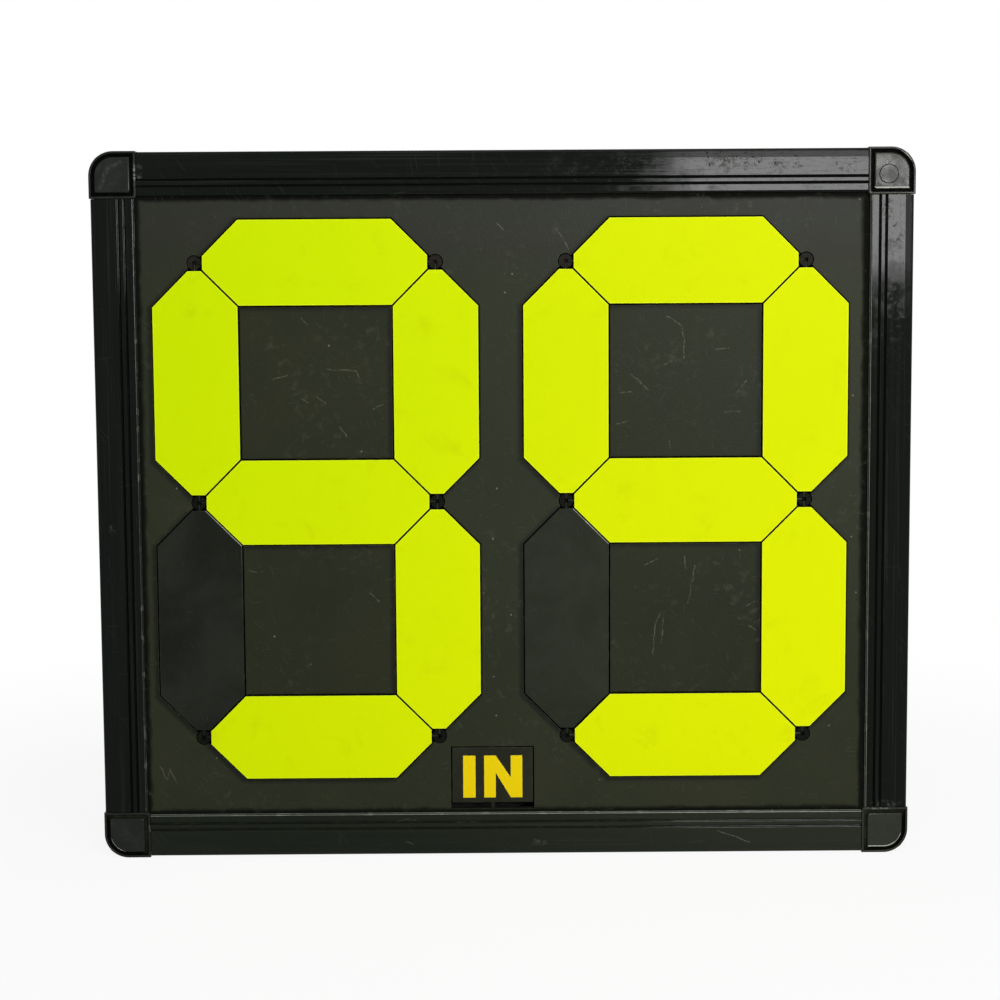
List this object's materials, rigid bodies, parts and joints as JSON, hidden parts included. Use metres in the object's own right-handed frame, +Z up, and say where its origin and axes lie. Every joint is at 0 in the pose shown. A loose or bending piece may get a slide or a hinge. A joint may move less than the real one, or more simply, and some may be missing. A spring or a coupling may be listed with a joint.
{
  "type": "substitution board",
  "caption": "Hand-held board that shows a player's number: two seven-segment digits made of turning flaps, and a small turning badge, in a framed shallow case.",
  "frame": {"origin": "on the floor under the middle of the board, half way through its depth", "axes": "+X to the right of someone who reads the front, +Y from the front to the back, +Z up"},
  "size_m": [0.501, 0.0384, 0.436],
  "materials": {
    "coated_rail": "gloss black coating",
    "cap_plastic": "gloss black",
    "panel_plastic": "satin olive black",
    "case_plastic": "matt black",
    "flap_plastic": "satin black",
    "bright_film": "fluorescent yellow-green"
  },
  "bodies": {
    "board": {"rail_left": "coated_rail", "rail_top": "coated_rail", "rail_right": "coated_rail", "rail_bottom": "coated_rail", "cap_bottom_left": "cap_plastic", "cap_top_left": "cap_plastic", "cap_top_right": "cap_plastic", "cap_bottom_right": "cap_plastic", "front_panel": "panel_plastic", "tens_upper_tile": "panel_plastic", "tens_lower_tile": "panel_plastic", "units_upper_tile": "panel_plastic", "units_lower_tile": "panel_plastic", "tens_upper_pedestal": "case_plastic", "tens_lower_pedestal": "case_plastic", "units_upper_pedestal": "case_plastic", "units_lower_pedestal": "case_plastic", "strip_spacer": "case_plastic", "tens_left_bottom_post": "case_plastic", "tens_left_middle_post": "case_plastic", "tens_left_top_post": "case_plastic", "tens_right_bottom_post": "case_plastic", "tens_right_middle_post": "case_plastic", "tens_right_top_post": "case_plastic", "units_left_bottom_post": "case_plastic", "units_left_middle_post": "case_plastic", "units_left_top_post": "case_plastic", "units_right_bottom_post": "case_plastic", "units_right_middle_post": "case_plastic", "units_right_top_post": "case_plastic", "rear_cover": "case_plastic"},
    "tens_top_flap": {"tens_top_plate": "flap_plastic", "tens_top_film": "bright_film"},
    "tens_upper_left_flap": {"tens_upper_left_plate": "flap_plastic", "tens_upper_left_film": "bright_film"},
    "tens_upper_right_flap": {"tens_upper_right_plate": "flap_plastic", "tens_upper_right_film": "bright_film"},
    "tens_middle_flap": {"tens_middle_plate": "flap_plastic", "tens_middle_film": "bright_film"},
    "tens_lower_left_flap": {"tens_lower_left_plate": "flap_plastic", "tens_lower_left_film": "bright_film"},
    "tens_lower_right_flap": {"tens_lower_right_plate": "flap_plastic", "tens_lower_right_film": "bright_film"},
    "tens_bottom_flap": {"tens_bottom_plate": "flap_plastic", "tens_bottom_film": "bright_film"},
    "units_top_flap": {"units_top_plate": "flap_plastic", "units_top_film": "bright_film"},
    "units_upper_left_flap": {"units_upper_left_plate": "flap_plastic", "units_upper_left_film": "bright_film"},
    "units_upper_right_flap": {"units_upper_right_plate": "flap_plastic", "units_upper_right_film": "bright_film"},
    "units_middle_flap": {"units_middle_plate": "flap_plastic", "units_middle_film": "bright_film"},
    "units_lower_left_flap": {"units_lower_left_plate": "flap_plastic", "units_lower_left_film": "bright_film"},
    "units_lower_right_flap": {"units_lower_right_plate": "flap_plastic", "units_lower_right_film": "bright_film"},
    "units_bottom_flap": {"units_bottom_plate": "flap_plastic", "units_bottom_film": "bright_film"},
    "badge": {"badge_plate": "flap_plastic"}
  },
  "joints": [
    {"name": "tens_top_turn", "type": "hinge", "parent": "board", "child": "tens_top_flap", "pos_m": [-0.1146, -0.01445, 0.3685], "axis": [1, 0, 0], "range_deg": [0, 180]},
    {"name": "tens_upper_left_turn", "type": "hinge", "parent": "board", "child": "tens_upper_left_flap", "pos_m": [-0.18795, -0.01445, 0.29515], "axis": [0, 0, 1], "range_deg": [0, 180]},
    {"name": "tens_upper_right_turn", "type": "hinge", "parent": "board", "child": "tens_upper_right_flap", "pos_m": [-0.04125, -0.01445, 0.29515], "axis": [0, 0, 1], "range_deg": [0, 180]},
    {"name": "tens_middle_turn", "type": "hinge", "parent": "board", "child": "tens_middle_flap", "pos_m": [-0.1146, -0.01445, 0.2218], "axis": [1, 0, 0], "range_deg": [0, 180]},
    {"name": "tens_lower_left_turn", "type": "hinge", "parent": "board", "child": "tens_lower_left_flap", "pos_m": [-0.18795, -0.01445, 0.14845], "axis": [0, 0, 1], "range_deg": [0, 180]},
    {"name": "tens_lower_right_turn", "type": "hinge", "parent": "board", "child": "tens_lower_right_flap", "pos_m": [-0.04125, -0.01445, 0.14845], "axis": [0, 0, 1], "range_deg": [0, 180]},
    {"name": "tens_bottom_turn", "type": "hinge", "parent": "board", "child": "tens_bottom_flap", "pos_m": [-0.1146, -0.01445, 0.0751], "axis": [1, 0, 0], "range_deg": [0, 180]},
    {"name": "units_top_turn", "type": "hinge", "parent": "board", "child": "units_top_flap", "pos_m": [0.1116, -0.01445, 0.3685], "axis": [1, 0, 0], "range_deg": [0, 180]},
    {"name": "units_upper_left_turn", "type": "hinge", "parent": "board", "child": "units_upper_left_flap", "pos_m": [0.03825, -0.01445, 0.29515], "axis": [0, 0, 1], "range_deg": [0, 180]},
    {"name": "units_upper_right_turn", "type": "hinge", "parent": "board", "child": "units_upper_right_flap", "pos_m": [0.18495, -0.01445, 0.29515], "axis": [0, 0, 1], "range_deg": [0, 180]},
    {"name": "units_middle_turn", "type": "hinge", "parent": "board", "child": "units_middle_flap", "pos_m": [0.1116, -0.01445, 0.2218], "axis": [1, 0, 0], "range_deg": [0, 180]},
    {"name": "units_lower_left_turn", "type": "hinge", "parent": "board", "child": "units_lower_left_flap", "pos_m": [0.03825, -0.01445, 0.14845], "axis": [0, 0, 1], "range_deg": [0, 180]},
    {"name": "units_lower_right_turn", "type": "hinge", "parent": "board", "child": "units_lower_right_flap", "pos_m": [0.18495, -0.01445, 0.14845], "axis": [0, 0, 1], "range_deg": [0, 180]},
    {"name": "units_bottom_turn", "type": "hinge", "parent": "board", "child": "units_bottom_flap", "pos_m": [0.1116, -0.01445, 0.0751], "axis": [1, 0, 0], "range_deg": [0, 180]},
    {"name": "badge_turn", "type": "hinge", "parent": "board", "child": "badge", "pos_m": [-0.0083, -0.01345, 0.0501], "axis": [0, 0, 1], "range_deg": [0, 180]}
  ]
}
